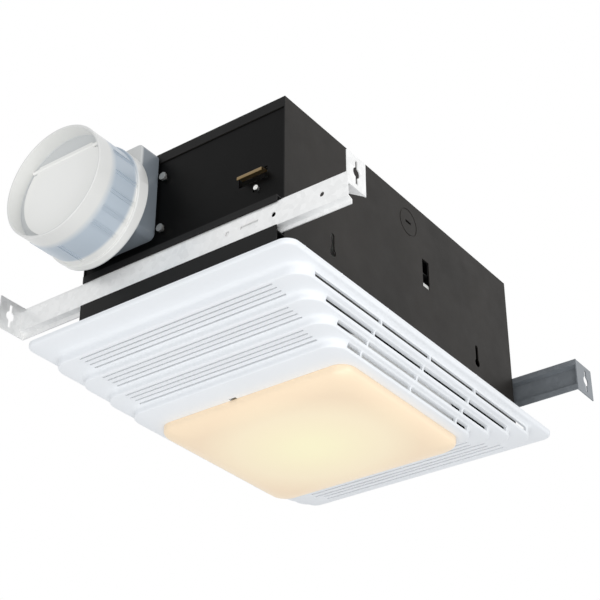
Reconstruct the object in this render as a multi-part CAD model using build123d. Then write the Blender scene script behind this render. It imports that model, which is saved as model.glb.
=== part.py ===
from build123d import *
import os
from math import cos, radians, sin, sqrt

os.makedirs("parts", exist_ok=True)

# Bathroom fan with light, hung between the joists above a ceiling opening.
# The origin is the centre of the opening in the ceiling plane, +Z is up and the duct leaves along -X.
# All sizes are in millimetres.

# Fits
running_gap = 0.05
slide_gap = 0.3
seat_gap = 0.02

# Housing
housing_length = 362
housing_width = 216
housing_height = 160
sheet = 1.0
end_flange_depth = 10
panel_flange_width = 12
keyhole_spacing = 230
keyhole_round_radius = 4.0
keyhole_round_height = 41
keyhole_neck_width = 4.5
keyhole_neck_top = 59.5
side_slot_width = 11
side_slot_height = 29
side_slot_x = 30.5
side_slot_z = 94
knockout_radius = 14
knockout_groove = 1.2
knockout_groove_depth = 0.4
knockout_x = 4
knockout_z = 136
pry_slot_length = 9
pry_slot_width = 2.4

# Bar rails on the two ends
rail_depth = 10
rail_floor_height = 22.5
rail_roof_height = 54.5
rail_upper_lip = 5.5
rail_lower_lip = 4.5
rail_long_reach = 108
rail_short_reach = 98

# Hanger bars
bar_sheet = 1.0
bar_tab_reach = 174
bar_free_reach = 98
bar_web_half = 11
bar_leg_slope = 1.5
bar_depth = 5.7
tab_width = 25
tab_height = 31
raised_tab_lift = 17
tab_hole_radius = 4.6
tab_slot_width = 3.0
tab_slot_reach = 11
gusset_length = 14
hammer_slot_length = 18
hammer_slot_width = 3
hammer_slot_y = 80
bar_notch_radius = 2.2
bar_notch_spacing = 46

# Duct connector and damper
duct_y = 73
duct_z = 106
collar_radius = 50.5
collar_wall = 2.0
collar_length = 58
collar_ring_radius = 53.5
collar_ring_thickness = 4
collar_rib_height = 0.2
collar_rib_width = 1.2
collar_rib_length = 44
collar_rib_first_angle = 75
collar_rib_pitch = 17
collar_rib_count = 12
base_depth = 20
base_low_y = 27
base_high_y = 107
base_low_z = 71
base_high_z = 158
base_wall = 2.0
base_corner = 6
base_ear_width = 14
base_ear_height = 16
base_ear_thickness = 2.5
damper_thickness = 1.4
damper_radius = 44.6
damper_hinge_rise = 30
damper_pin_radius = 1.5
damper_inset = 14
damper_boss_width = 6
damper_boss_radius = 3.2
damper_stop_height = 6
damper_stop_thickness = 2

# Blower
wheel_x = -75
wheel_y = -15.5
wheel_radius = 56
wheel_blade_depth = 8.5
wheel_blade_thickness = 0.8
wheel_blade_count = 36
wheel_blade_lead = 6
wheel_bottom = 76
wheel_top = 147
wheel_ring_thickness = 2
wheel_hub_radius = 8
wheel_hub_length = 20
plate_height = 71
plate_far_x = 62
plate_flange_height = 12
inlet_radius = 45
inlet_rise = 9
scroll_step = 15
scroll_first_radius = 63
scroll_tongue_angle = 125
scroll_foot_width = 10

# Motor
shaft_radius = 3
shaft_bottom = 37
rotor_radius = 15
rotor_gap = 0.5
stator_low = 44
stator_high = 62
stator_half_width = 30
stator_rotor_side = 30
stator_coil_side = 62
stator_leg = 14
stator_window_start = 21
coil_wall = 9
coil_clear = 0.6
bridge_thickness = 1.5
bridge_width = 22
bridge_half_length = 82
bearing_radius = 8
bearing_length = 6
stud_radius = 2
stud_offset = 24
stud_nut_radius = 3.5
stud_nut_height = 3
clip_radius = 6
clip_thickness = 1.2

# Lamp
pan_near_x = -78
pan_far_x = 94
pan_half_width = 96
pan_bottom = -36.5
pan_shoulder = -10
pan_top = 30
pan_top_near_x = -50
pan_top_far_x = 66
pan_top_half_width = 55
pan_sheet = 0.8
pan_corner = 14
post_radius = 4
post_points = ((52, -42), (52, 42), (-22, 47))
bulb_z = -4
bulb_radius = 30
bulb_centre_x = -30
bulb_neck_radius = 13
bulb_neck_x = 20
cap_radius = 12.6
cap_length = 22
socket_radius = 19
socket_near_x = 33
socket_far_x = 60
socket_floor = 6
socket_bracket_width = 34
socket_bracket_drop = 44
socket_bracket_foot = 16

# Wiring box
box_near_x = -12
box_far_x = 90
box_depth = 22
box_low = 96
box_ear = 8
receptacle_width = 30
receptacle_height = 20
receptacle_depth = 12
receptacle_spacing = 42
receptacle_slot = 2.2
receptacle_slot_length = 8
ground_screw_radius = 3.5

# Grille
grille_x = -3
grille_half_length = 205
grille_half_width = 141
grille_corner = 21
grille_wall = 2.2
grille_top = -1.0
rim_low = -7
terraces = ((185, 131, -17), (160.5, 123.5, -24), (136.5, 117, -31.5), (112, 110.3, -39.5))
terrace_corner = 16
cove_radius = 4
edge_round = 1.5
rim_round = 3
slot_row_halves = (165.7, 142, 118, 94)
slot_height = 3.4
slot_lift = 2.0
slot_web = 2.0
slot_web_pitch = 73.4
end_slit_width = 1.6
end_slit_first = 7
end_slit_pitch = 5
end_slit_count = 4
end_slit_halves = (100, 97, 93)
nub_radius = 1.2
nub_count = 4
nub_pitch = 84
spring_offset = 148
spring_post_width = 8
spring_pin_radius = 4
spring_pin_height = -9
spring_wire_radius = 1.0
spring_coil_radius = 6.4
spring_coil_length = 9
spring_leg_top = 62
spring_hook = 6
spring_leg_inset = 0.3
bracket_height = 8
bracket_half_width = 15
bracket_reach = 48
bracket_foot = 14
bracket_sheet = 1.2
bracket_slot_length = 6

# Lens
lens_x = 8
lens_half_length = 89
lens_half_width = 99.5
lens_corner = 18
lens_wall = 2.0
lens_seat = -39.5
lens_plug = 1.5
lens_band_z = -49
lens_band_inset = 2.5
lens_bottom = -55
lens_flat_half_length = 78
lens_flat_half_width = 84
lens_gap = 0.5
knuckle_radius = 2.2
knuckle_length = 10
knuckle_pin_radius = 1.0
knuckle_y = 55
knuckle_ear = 2.5
latch_slot_width = 8
latch_slot_depth = 2.5
latch_slot_y = 16

# Fasteners
screw_radius = 1.6
screw_head_radius = 3.6
screw_head_height = 2.0
end_screw_y = -77
end_screw_z = 78
clip_y = -75.5
clip_z = 92
clip_width = 29
clip_height = 11
clip_stand = 3


def block(x_pair, y_pair, z_pair):
    """A box between two values on each axis."""
    size = [abs(pair[1] - pair[0]) for pair in (x_pair, y_pair, z_pair)]
    middle = [(pair[0] + pair[1]) / 2 for pair in (x_pair, y_pair, z_pair)]
    return Pos(*middle) * Box(*size)


def rod_x(radius, x_pair, y, z):
    """A round bar along X."""
    centre = (x_pair[0] + x_pair[1]) / 2
    return Pos(centre, y, z) * Rot(0, 90, 0) * Cylinder(radius, abs(x_pair[1] - x_pair[0]))


def rod_y(radius, x, y_pair, z):
    """A round bar along Y."""
    centre = (y_pair[0] + y_pair[1]) / 2
    return Pos(x, centre, z) * Rot(90, 0, 0) * Cylinder(radius, abs(y_pair[1] - y_pair[0]))


def rod_z(radius, x, y, z_pair):
    """A round bar along Z."""
    centre = (z_pair[0] + z_pair[1]) / 2
    return Pos(x, y, centre) * Cylinder(radius, abs(z_pair[1] - z_pair[0]))


def slab(half_x, half_y, corner, z_pair, x=0):
    """A plate with rounded corners between two heights."""
    outline = RectangleRounded(2 * half_x, 2 * half_y, corner)
    return Pos(x, 0, min(z_pair)) * extrude(outline, abs(z_pair[1] - z_pair[0]))


def turned(shape):
    """The same shape turned half a turn about Z."""
    return Rot(0, 0, 180) * shape


def save(name, shape):
    """Write one named sub-part."""
    export_step(shape, os.path.join("parts", name + ".step"))


# Housing wrap
half_length = housing_length / 2
half_width = housing_width / 2
inner_half_width = half_width - sheet
roof_under = housing_height - sheet
panel_outer_x = half_length - sheet
panel_inner_x = panel_outer_x - sheet
wrap = block((-half_length, half_length), (-half_width, half_width), (0, housing_height))
wrap -= block((-housing_length, housing_length), (-inner_half_width, inner_half_width), (-sheet, roof_under))
for side in (-1, 1):
    flange_x = (side * panel_outer_x, side * half_length)
    flange_z = (housing_height - end_flange_depth, roof_under)
    wrap += block(flange_x, (-inner_half_width, inner_half_width), flange_z)
side_cut_y = (-half_width - sheet, -inner_half_width + sheet)
for side in (-1, 1):
    keyhole_x = side * keyhole_spacing / 2
    neck_x = (keyhole_x - keyhole_neck_width / 2, keyhole_x + keyhole_neck_width / 2)
    neck_top = keyhole_neck_top - keyhole_neck_width / 2
    wrap -= rod_y(keyhole_round_radius, keyhole_x, side_cut_y, keyhole_round_height)
    wrap -= block(neck_x, side_cut_y, (keyhole_round_height, neck_top))
    wrap -= rod_y(keyhole_neck_width / 2, keyhole_x, side_cut_y, neck_top)
slot_x = (side_slot_x - side_slot_width / 2, side_slot_x + side_slot_width / 2)
slot_z = (side_slot_z - side_slot_height / 2, side_slot_z + side_slot_height / 2)
wrap -= block(slot_x, side_cut_y, slot_z)
groove_y = (-half_width - sheet, -half_width + knockout_groove_depth)
groove = rod_y(knockout_radius, knockout_x, groove_y, knockout_z)
groove -= rod_y(knockout_radius - knockout_groove, knockout_x, groove_y, knockout_z)
wrap -= groove
pry_x = (knockout_x - pry_slot_length / 2, knockout_x + pry_slot_length / 2)
pry_z = (knockout_z - pry_slot_width / 2, knockout_z + pry_slot_width / 2)
wrap -= block(pry_x, side_cut_y, pry_z)
save("housing_wrap", wrap)

# End panels, with flanges turned in against the long sides
blank = block((-panel_outer_x, -panel_inner_x), (-inner_half_width, inner_half_width), (0, roof_under))
for side in (-1, 1):
    flange_y = (side * inner_half_width, side * (inner_half_width - sheet))
    blank += block((-panel_inner_x, -panel_inner_x + panel_flange_width), flange_y, (0, roof_under))
screw_hole_x = (-panel_outer_x - sheet, -panel_inner_x + sheet)
blank -= rod_x(screw_radius + seat_gap, screw_hole_x, end_screw_y, end_screw_z)
scroll_centre_x = wheel_x - scroll_step / 2
scroll_centre_y = wheel_y + scroll_step / 2
outlet_high = scroll_centre_y + scroll_first_radius + 3 * scroll_step
tongue_y = scroll_centre_y - scroll_step + scroll_first_radius * sin(radians(scroll_tongue_angle))
tongue_x = scroll_centre_x + scroll_first_radius * cos(radians(scroll_tongue_angle))
outlet_opening_y = (tongue_y + 2 * sheet, outlet_high - 2 * sheet)
outlet_opening_z = (base_low_z + 2 * base_wall, base_high_z - 2 * base_wall)
duct_panel = blank - block(screw_hole_x, outlet_opening_y, outlet_opening_z)
clip_root_z = clip_z - clip_height / 2
clip_hole_y = (clip_y - clip_width / 2, clip_y + clip_width / 2)
duct_panel -= block(screw_hole_x, clip_hole_y, (clip_root_z, clip_root_z + clip_height))
ear_points = []
for y, side in ((base_low_y, -1),):
    for z in (base_low_z + base_ear_height / 2, base_high_z - base_ear_height - end_flange_depth):
        ear_points.append((y + side * base_ear_width / 2, z))
for y, z in ear_points:
    duct_panel -= rod_x(screw_radius + seat_gap, screw_hole_x, y, z)
save("duct_end_panel", duct_panel)
save("far_end_panel", turned(blank))

# Copper-coloured clip lanced out of the duct-end panel
clip_side = sqrt(clip_height ** 2 - clip_stand ** 2)
clip_profile = [
    (-panel_inner_x, clip_root_z + seat_gap),
    (-panel_inner_x - sheet, clip_root_z + seat_gap),
    (-panel_inner_x - sheet - clip_stand, clip_root_z + clip_side),
    (-panel_inner_x - clip_stand, clip_root_z + clip_side),
]
clip_face = make_face(Plane.XZ * Polyline(*clip_profile, close=True))
lanced_clip = extrude(clip_face, clip_width - 2 * seat_gap, dir=(0, 1, 0))
save("lanced_clip", Pos(0, clip_hole_y[0] + seat_gap, 0) * lanced_clip)

# Screws in the two end panels
end_screw = rod_x(screw_radius, (-panel_outer_x, -panel_inner_x + 3 * sheet), end_screw_y, end_screw_z)
end_screw += rod_x(screw_head_radius, (-panel_outer_x - screw_head_height, -panel_outer_x), end_screw_y, end_screw_z)
save("end_screws", Compound([end_screw, turned(end_screw)]))

# Bar rails: one channel on each end, the far one turned half a turn
rail_x = (-half_length - rail_depth, -panel_outer_x)
rail_inner_x = (-half_length - rail_depth + sheet, -half_length)
rail_y = (-rail_long_reach, rail_short_reach)
rail_top = rail_roof_height + sheet
rail = block(rail_x, rail_y, (0, rail_top))
rail -= block(rail_inner_x, rail_y, (rail_floor_height, rail_roof_height))
rail -= block(rail_inner_x, rail_y, (-sheet, rail_floor_height - sheet))
opening_z = (rail_floor_height + rail_lower_lip, rail_roof_height - rail_upper_lip)
rail -= block((rail_x[0] - sheet, rail_x[0] + 2 * sheet), rail_y, opening_z)
for side in (-1, 1):
    rail -= block((-half_length, -panel_outer_x), (side * inner_half_width, side * housing_width), (-sheet, rail_top + sheet))
save("duct_end_rail", rail)
save("far_end_rail", turned(rail))

# Hanger bars: a pair of nested hat sections on each end
bar_low = rail_floor_height + slide_gap
bar_high = rail_roof_height - slide_gap
bar_mid = (bar_low + bar_high) / 2
bar_flange_half = (bar_high - bar_low) / 2
outer_web_x = rail_inner_x[0] + slide_gap
inner_web_x = outer_web_x + bar_sheet + slide_gap


def hat_bar(web_x, web_half, y_pair):
    """A hat-section bar along Y with its web at web_x, facing away from the housing."""
    foot_x = web_x + bar_depth
    foot_half = web_half + bar_leg_slope
    upper = [
        (web_x, web_half),
        (foot_x - bar_sheet, foot_half),
        (foot_x - bar_sheet, bar_flange_half),
        (foot_x, bar_flange_half),
        (foot_x, foot_half - bar_sheet),
        (web_x + bar_sheet, web_half - bar_sheet),
    ]
    lower = [(x, -z) for x, z in reversed(upper)]
    outline = [(x, bar_mid + z) for x, z in upper + lower]
    face = make_face(Plane.XZ * Polyline(*outline, close=True))
    bar = extrude(face, abs(y_pair[1] - y_pair[0]), dir=(0, 1, 0))
    return Pos(0, min(y_pair), 0) * bar


def tab_cut(x, z, y_pair):
    """The double-ended keyhole of a nailing tab."""
    cut = rod_y(tab_hole_radius, x, y_pair, z)
    half_slot = tab_slot_width / 2
    cut += block((x - half_slot, x + half_slot), y_pair, (z - tab_slot_reach, z + tab_slot_reach))
    return cut


outer_web_half = bar_web_half
inner_web_half = bar_web_half - bar_sheet - slide_gap
outer_bar = hat_bar(outer_web_x, outer_web_half, (-bar_tab_reach, bar_free_reach))
outer_tab_x = (outer_web_x, outer_web_x + tab_width)
outer_tab_y = (-bar_tab_reach, -bar_tab_reach + bar_sheet)
outer_tab_z = (bar_low + raised_tab_lift, bar_low + raised_tab_lift + tab_height)
outer_bar += block(outer_tab_x, outer_tab_y, outer_tab_z)
gusset_x = outer_web_x + bar_depth
gusset = Polyline((gusset_x - bar_sheet, -bar_tab_reach), (outer_tab_x[1], -bar_tab_reach),
                  (gusset_x - bar_sheet, -bar_tab_reach + gusset_length), close=True)
outer_bar += Pos(0, 0, outer_tab_z[0]) * extrude(make_face(gusset), bar_sheet)
outer_hole_x = (outer_tab_x[0] + outer_tab_x[1]) / 2
outer_hole_z = (outer_tab_z[0] + outer_tab_z[1]) / 2
outer_bar -= tab_cut(outer_hole_x, outer_hole_z, (-bar_tab_reach - sheet, -bar_tab_reach + 2 * sheet))
web_cut_x = (outer_web_x - sheet, outer_web_x + bar_sheet + slide_gap)
hammer_y = (-hammer_slot_y - hammer_slot_length / 2, -hammer_slot_y + hammer_slot_length / 2)
hammer_z = (bar_mid - hammer_slot_width / 2, bar_mid + hammer_slot_width / 2)
outer_bar -= block(web_cut_x, hammer_y, hammer_z)
for step in range(3):
    outer_bar -= rod_x(bar_notch_radius, web_cut_x, -hammer_slot_y + 22 - step * bar_notch_spacing, bar_mid)
save("duct_end_outer_bar", outer_bar)
save("far_end_outer_bar", turned(outer_bar))

inner_bar = hat_bar(inner_web_x, inner_web_half, (-bar_free_reach, bar_tab_reach))
inner_foot_x = inner_web_x + bar_depth
inner_tab_x = (inner_web_x - tab_width, inner_foot_x)
inner_tab_y = (bar_tab_reach - bar_sheet, bar_tab_reach)
inner_tab_z = (bar_low, bar_low + tab_height)
inner_bar += block(inner_tab_x, inner_tab_y, inner_tab_z)
inner_hole_x = inner_web_x - tab_width / 2
inner_hole_z = (inner_tab_z[0] + inner_tab_z[1]) / 2
inner_bar -= tab_cut(inner_hole_x, inner_hole_z, (bar_tab_reach - 2 * sheet, bar_tab_reach + sheet))
save("duct_end_inner_bar", inner_bar)
save("far_end_inner_bar", turned(inner_bar))

# Duct connector: base box, ring flange and collar with moulded ribs
face_x = -half_length
ring_x = face_x - base_depth
mouth_x = ring_x - collar_length - collar_ring_thickness / 2
collar_bore = collar_radius - collar_wall
base_y_mid = (base_low_y + base_high_y) / 2
base_z_mid = (base_low_z + base_high_z) / 2


def base_block(inset, x_pair):
    """A rounded block on the end of the housing, inset on all four sides."""
    width = base_high_y - base_low_y - 2 * inset
    height = base_high_z - base_low_z - 2 * inset
    outline = Plane.YZ * RectangleRounded(width, height, base_corner - inset)
    return Pos(min(x_pair), base_y_mid, base_z_mid) * extrude(outline, abs(x_pair[1] - x_pair[0]))


connector = base_block(0, (ring_x, -panel_outer_x))
connector += rod_x(collar_ring_radius, (ring_x - collar_ring_thickness, ring_x), duct_y, duct_z)
connector += rod_x(collar_radius, (mouth_x, ring_x), duct_y, duct_z)
for step in range(collar_rib_count):
    rib_x = (ring_x - collar_ring_thickness - collar_rib_length, ring_x - collar_ring_thickness)
    rib_half = collar_rib_width / 2
    rib = block(rib_x, (-rib_half, rib_half), (collar_bore + sheet, collar_radius + collar_rib_height))
    rib_angle = collar_rib_first_angle + step * collar_rib_pitch
    connector += Pos(0, duct_y, duct_z) * Rot(rib_angle, 0, 0) * rib
for y, z in ear_points:
    ear_y = (y - base_ear_width / 2, y + base_ear_width / 2 + base_wall)
    ear_z = (z - base_ear_height / 2, z + base_ear_height / 2)
    connector += block((-panel_outer_x - base_ear_thickness, -panel_outer_x), ear_y, ear_z)
    connector -= rod_x(screw_radius + seat_gap, (face_x - base_ear_thickness, face_x + 2 * sheet), y, z)
connector -= base_block(base_wall, (ring_x + base_wall, face_x + 2 * sheet))
passage_x = (ring_x - collar_ring_thickness / 2, ring_x + 2 * base_wall)
connector -= base_block(base_wall, passage_x) & rod_x(collar_bore, passage_x, duct_y, duct_z)
connector -= rod_x(collar_bore, (mouth_x - sheet, passage_x[0]), duct_y, duct_z)
flange_clear_z = (housing_height - end_flange_depth - slide_gap, housing_height)
connector -= block((face_x, face_x + 2 * sheet), (-housing_width, housing_width), flange_clear_z)
damper_x = mouth_x + damper_inset
damper_hinge_z = duct_z + damper_hinge_rise
stop_x = (damper_x + damper_thickness / 2 + slide_gap, damper_x + damper_thickness / 2 + slide_gap + damper_stop_thickness)
stop = rod_x(collar_bore + sheet, stop_x, duct_y, duct_z)
stop -= rod_x(collar_bore - damper_stop_height, stop_x, duct_y, duct_z)
stop_top = damper_hinge_z - damper_boss_radius - 2 * slide_gap
stop -= block((stop_x[0] - sheet, stop_x[1] + sheet), (-housing_width, housing_width), (stop_top, housing_height))
connector += stop
boss_reach = sqrt(collar_bore ** 2 - damper_hinge_rise ** 2) + sheet
for side in (-1, 1):
    boss_y = (duct_y + side * (boss_reach - damper_boss_width), duct_y + side * boss_reach)
    boss = rod_y(damper_boss_radius, damper_x, boss_y, damper_hinge_z)
    connector += boss & rod_x(collar_bore + sheet, (mouth_x, ring_x), duct_y, duct_z)
    bore_y = (duct_y + side * (boss_reach - damper_boss_width - sheet), duct_y + side * (boss_reach - sheet))
    connector -= rod_y(damper_pin_radius + running_gap, damper_x, bore_y, damper_hinge_z)
save("duct_connector", connector)

connector_screws = []
for y, z in ear_points:
    head_x = (-panel_outer_x - base_ear_thickness - screw_head_height, -panel_outer_x - base_ear_thickness)
    screw = rod_x(screw_radius, (head_x[1], -panel_inner_x + 2 * sheet), y, z)
    screw += rod_x(screw_head_radius, head_x, y, z)
    connector_screws.append(screw)
save("connector_screws", Compound(connector_screws))

# Damper flap, hung on two pins across the collar
flap_x = (damper_x - damper_thickness / 2, damper_x + damper_thickness / 2)
flap = rod_x(damper_radius, flap_x, duct_y, duct_z)
flap_top = damper_hinge_z + damper_boss_radius
flap -= block((flap_x[0] - sheet, flap_x[1] + sheet), (-housing_width, housing_width), (flap_top, housing_height))
pin_reach = boss_reach - damper_boss_width - slide_gap
for side in (-1, 1):
    notch_y = (duct_y + side * pin_reach, duct_y + side * housing_width)
    notch_z = (damper_hinge_z - damper_boss_radius - 2 * slide_gap, housing_height)
    flap -= block((flap_x[0] - sheet, flap_x[1] + sheet), notch_y, notch_z)
pin_end = boss_reach - sheet - slide_gap
flap += rod_y(damper_pin_radius, damper_x, (duct_y - pin_end, duct_y + pin_end), damper_hinge_z)
save("damper_flap", flap)

# Blower plate under the scroll, with its inlet and side flanges
plate_top = plate_height + sheet
plate_near_x = -panel_inner_x + panel_flange_width + slide_gap
plate = block((plate_near_x, plate_far_x), (-inner_half_width, inner_half_width), (plate_height, plate_top))
tongue_half = inner_half_width - sheet - slide_gap
plate += block((-panel_inner_x, plate_near_x), (-tongue_half, tongue_half), (plate_height, plate_top))
for side in (-1, 1):
    flange_y = (side * inner_half_width, side * (inner_half_width - sheet))
    plate += block((plate_near_x, plate_far_x), flange_y, (plate_height, plate_top + plate_flange_height))
plate -= rod_z(inlet_radius + inlet_rise, wheel_x, wheel_y, (plate_height - sheet, plate_top + sheet))
bell_points = (inlet_radius, plate_height + inlet_rise), (inlet_radius + inlet_rise, plate_height)
bell_outer = inlet_radius + inlet_rise
bell = make_face(Plane.XZ * (
    CenterArc((bell_outer, plate_height + inlet_rise), inlet_rise, 180, 90)
    + Line((bell_outer, plate_height), (bell_outer, plate_top))
    + CenterArc((bell_outer, plate_height + inlet_rise), inlet_rise - sheet, 180, 90)
    + Line((inlet_radius, plate_height + inlet_rise), (inlet_radius + sheet, plate_height + inlet_rise))
))
plate += Pos(wheel_x, wheel_y, 0) * revolve(bell, Axis.Z)
bridge_screw_points = [(wheel_x - bridge_half_length + 4, wheel_y), (wheel_x + bridge_half_length - 4, wheel_y)]
plate_hole_z = (plate_height - sheet, plate_top + sheet)
for x, y in bridge_screw_points:
    plate -= rod_z(screw_radius + seat_gap, x, y, plate_hole_z)
save("blower_plate", plate)

# Scroll wall, four tangent arcs that grow by one step each quarter turn, then a straight run to the outlet
scroll_end_x = -panel_inner_x + slide_gap
low_y = scroll_centre_y - scroll_step
radii = [scroll_first_radius + step * scroll_step for step in range(4)]
scroll_lines = [
    Line((scroll_end_x, tongue_y), (tongue_x, tongue_y)),
    CenterArc((scroll_centre_x, low_y), radii[0], scroll_tongue_angle, 180 - scroll_tongue_angle),
    CenterArc((scroll_centre_x + scroll_step, low_y), radii[1], 180, 90),
    CenterArc((scroll_centre_x + scroll_step, scroll_centre_y), radii[2], 270, 90),
    CenterArc((scroll_centre_x, scroll_centre_y), radii[3], 0, 90),
    Line((scroll_centre_x, outlet_high), (scroll_end_x, outlet_high)),
    Line((scroll_end_x, outlet_high), (scroll_end_x, tongue_y)),
]
scroll_region = make_face(scroll_lines)
scroll_space = offset(scroll_region, -sheet)
scroll_height = roof_under - slide_gap - plate_top
scroll_wall = Pos(0, 0, plate_top) * extrude(scroll_region, scroll_height)
scroll_wall -= Pos(0, 0, plate_top - sheet) * extrude(scroll_space, scroll_height + 2 * sheet)
mouth_cut_y = (tongue_y + sheet, outlet_high - sheet)
scroll_wall -= block((scroll_end_x - sheet, scroll_end_x + 3 * sheet), mouth_cut_y, (plate_top - sheet, housing_height))
foot_reach = scroll_foot_width - sheet
foot_places = []
for angle in (10, 50):
    foot_radius = radii[3] + foot_reach / 2
    foot_places.append((angle, foot_radius))
    foot = block((radii[3] - sheet / 2, radii[3] + foot_reach), (-scroll_foot_width / 2, scroll_foot_width / 2), (0, sheet))
    foot -= rod_z(screw_radius + seat_gap, foot_radius, 0, (-sheet, 2 * sheet))
    scroll_wall += Pos(scroll_centre_x, scroll_centre_y, plate_top) * Rot(0, 0, angle) * foot
save("scroll_wall", scroll_wall)

# Screws that hold the scroll and the motor bridge to the plate, and the plate to the housing
blower_screws = []
for angle, foot_radius in foot_places:
    x = scroll_centre_x + foot_radius * cos(radians(angle))
    y = scroll_centre_y + foot_radius * sin(radians(angle))
    screw = rod_z(screw_radius, x, y, (plate_top, plate_top + sheet))
    screw += rod_z(screw_head_radius, x, y, (plate_top + sheet, plate_top + sheet + screw_head_height))
    blower_screws.append(screw)
bridge_low = plate_height - bridge_thickness
for x, y in bridge_screw_points:
    screw = rod_z(screw_radius, x, y, (bridge_low, plate_top + sheet))
    screw += rod_z(screw_head_radius, x, y, (bridge_low - screw_head_height, bridge_low))
    blower_screws.append(screw)
save("blower_screws", Compound(blower_screws))

# Motor: two bridges with bearings, a laminated stator, its coil and two studs
bearing_hole = shaft_radius + running_gap


def bridge(z_low, boss_z, half_length):
    """A flat strap with a bearing boss and holes for the studs."""
    strap = block((wheel_x - half_length, wheel_x + half_length),
                  (wheel_y - bridge_width / 2, wheel_y + bridge_width / 2), (z_low, z_low + bridge_thickness))
    cross_half = stud_offset + bridge_width / 4
    strap += block((wheel_x - bridge_width / 2, wheel_x + bridge_width / 2),
                   (wheel_y - cross_half, wheel_y + cross_half), (z_low, z_low + bridge_thickness))
    strap += rod_z(bearing_radius, wheel_x, wheel_y, boss_z)
    strap -= rod_z(bearing_hole, wheel_x, wheel_y, (boss_z[0] - sheet, boss_z[1] + sheet))
    for side in (-1, 1):
        hole_z = (z_low - sheet, z_low + bridge_thickness + sheet)
        strap -= rod_z(stud_radius + seat_gap, wheel_x, wheel_y + side * stud_offset, hole_z)
    return strap


upper_bridge = bridge(bridge_low, (bridge_low - bearing_length + bridge_thickness, plate_height), bridge_half_length)
for x, y in bridge_screw_points:
    upper_bridge -= rod_z(screw_radius + seat_gap, x, y, (bridge_low - sheet, plate_height + sheet))
save("upper_motor_bridge", upper_bridge)
lower_low = stator_low - bridge_thickness
lower_bridge = bridge(lower_low, (lower_low + bridge_thickness - bearing_length, stator_low), stud_offset)
save("lower_motor_bridge", lower_bridge)

stator_x = (wheel_x - stator_rotor_side, wheel_x + stator_coil_side)
stator_y = (wheel_y - stator_half_width, wheel_y + stator_half_width)
stator = block(stator_x, stator_y, (stator_low, stator_high))
stator_cut_z = (stator_low - sheet, stator_high + sheet)
stator -= rod_z(rotor_radius + rotor_gap, wheel_x, wheel_y, stator_cut_z)
window_x = (wheel_x + stator_window_start, wheel_x + stator_coil_side - stator_leg)
window_half = stator_half_width - stator_leg / 2 - 3
stator -= block(window_x, (wheel_y - window_half, wheel_y + window_half), stator_cut_z)
for side in (-1, 1):
    stator -= rod_z(stud_radius + seat_gap, wheel_x, wheel_y + side * stud_offset, stator_cut_z)
save("motor_stator", stator)

leg_x = (window_x[1], stator_x[1])
coil_half = window_half - coil_clear
coil_x = (leg_x[0] - coil_wall, leg_x[1] + coil_wall)
coil_z = (stator_low - coil_wall + 4, stator_high + coil_wall - 2)
coil = block(coil_x, (wheel_y - coil_half, wheel_y + coil_half), coil_z)
coil = fillet(coil.edges().filter_by(Axis.Y), 4)
coil -= block(leg_x, stator_y, (stator_low, stator_high))
save("motor_coil", coil)

studs = []
stud_low = lower_low - stud_nut_height
for side in (-1, 1):
    y = wheel_y + side * stud_offset
    stud = rod_z(stud_radius, wheel_x, y, (stud_low, plate_height))
    stud += rod_z(stud_nut_radius, wheel_x, y, (stud_low, lower_low))
    sleeve_z = (stator_high, bridge_low)
    stud += rod_z(stud_nut_radius, wheel_x, y, sleeve_z)
    studs.append(stud)
save("motor_studs", Compound(studs))

# Rotor on its shaft
rotor = rod_z(shaft_radius, wheel_x, wheel_y, (shaft_bottom, wheel_top + wheel_ring_thickness + clip_thickness))
rotor += rod_z(rotor_radius, wheel_x, wheel_y, (stator_low + slide_gap, stator_high))
save("motor_rotor", rotor)

# Blower wheel: forward-curved blades between an inlet ring and a back plate with a hub
blade_inner = wheel_radius - wheel_blade_depth
outer_arc = ThreePointArc((blade_inner, 0), (blade_inner + wheel_blade_depth * 0.42, wheel_blade_lead * 0.22),
                          (wheel_radius - 0.3, wheel_blade_lead))
inner_arc = ThreePointArc((blade_inner, wheel_blade_thickness),
                          (blade_inner + wheel_blade_depth * 0.38, wheel_blade_lead * 0.22 + wheel_blade_thickness),
                          (wheel_radius - 0.3 - wheel_blade_thickness / 2, wheel_blade_lead + wheel_blade_thickness))
blade_face = make_face([outer_arc, Line(outer_arc @ 1, inner_arc @ 1), inner_arc, Line(inner_arc @ 0, outer_arc @ 0)])
blade = Pos(0, 0, wheel_bottom) * extrude(blade_face, wheel_top - wheel_bottom)
wheel = rod_z(wheel_radius + 0.5, 0, 0, (wheel_top, wheel_top + wheel_ring_thickness))
hub_z = (wheel_top + wheel_ring_thickness - wheel_hub_length, wheel_top + wheel_ring_thickness)
wheel += rod_z(wheel_hub_radius, 0, 0, hub_z)
wheel -= rod_z(shaft_radius + seat_gap, 0, 0, (hub_z[0] - sheet, hub_z[1] + sheet))
ring = rod_z(wheel_radius + 0.5, 0, 0, (wheel_bottom, wheel_bottom + wheel_ring_thickness))
ring -= rod_z(blade_inner, 0, 0, (wheel_bottom - sheet, wheel_bottom + wheel_ring_thickness + sheet))
blades = [Rot(0, 0, 360 / wheel_blade_count * step) * blade for step in range(wheel_blade_count)]
wheel = wheel + ([ring] + blades)
save("blower_wheel", Pos(wheel_x, wheel_y, 0) * wheel)

clip_low = wheel_top + wheel_ring_thickness
wheel_clip = rod_z(clip_radius, wheel_x, wheel_y, (clip_low, clip_low + clip_thickness))
wheel_clip -= rod_z(shaft_radius + seat_gap, wheel_x, wheel_y, (clip_low - sheet, clip_low + 2 * clip_thickness))
save("wheel_clip", wheel_clip)

# Lamp pan: straight skirt, then sides that taper up to a flat top


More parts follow.
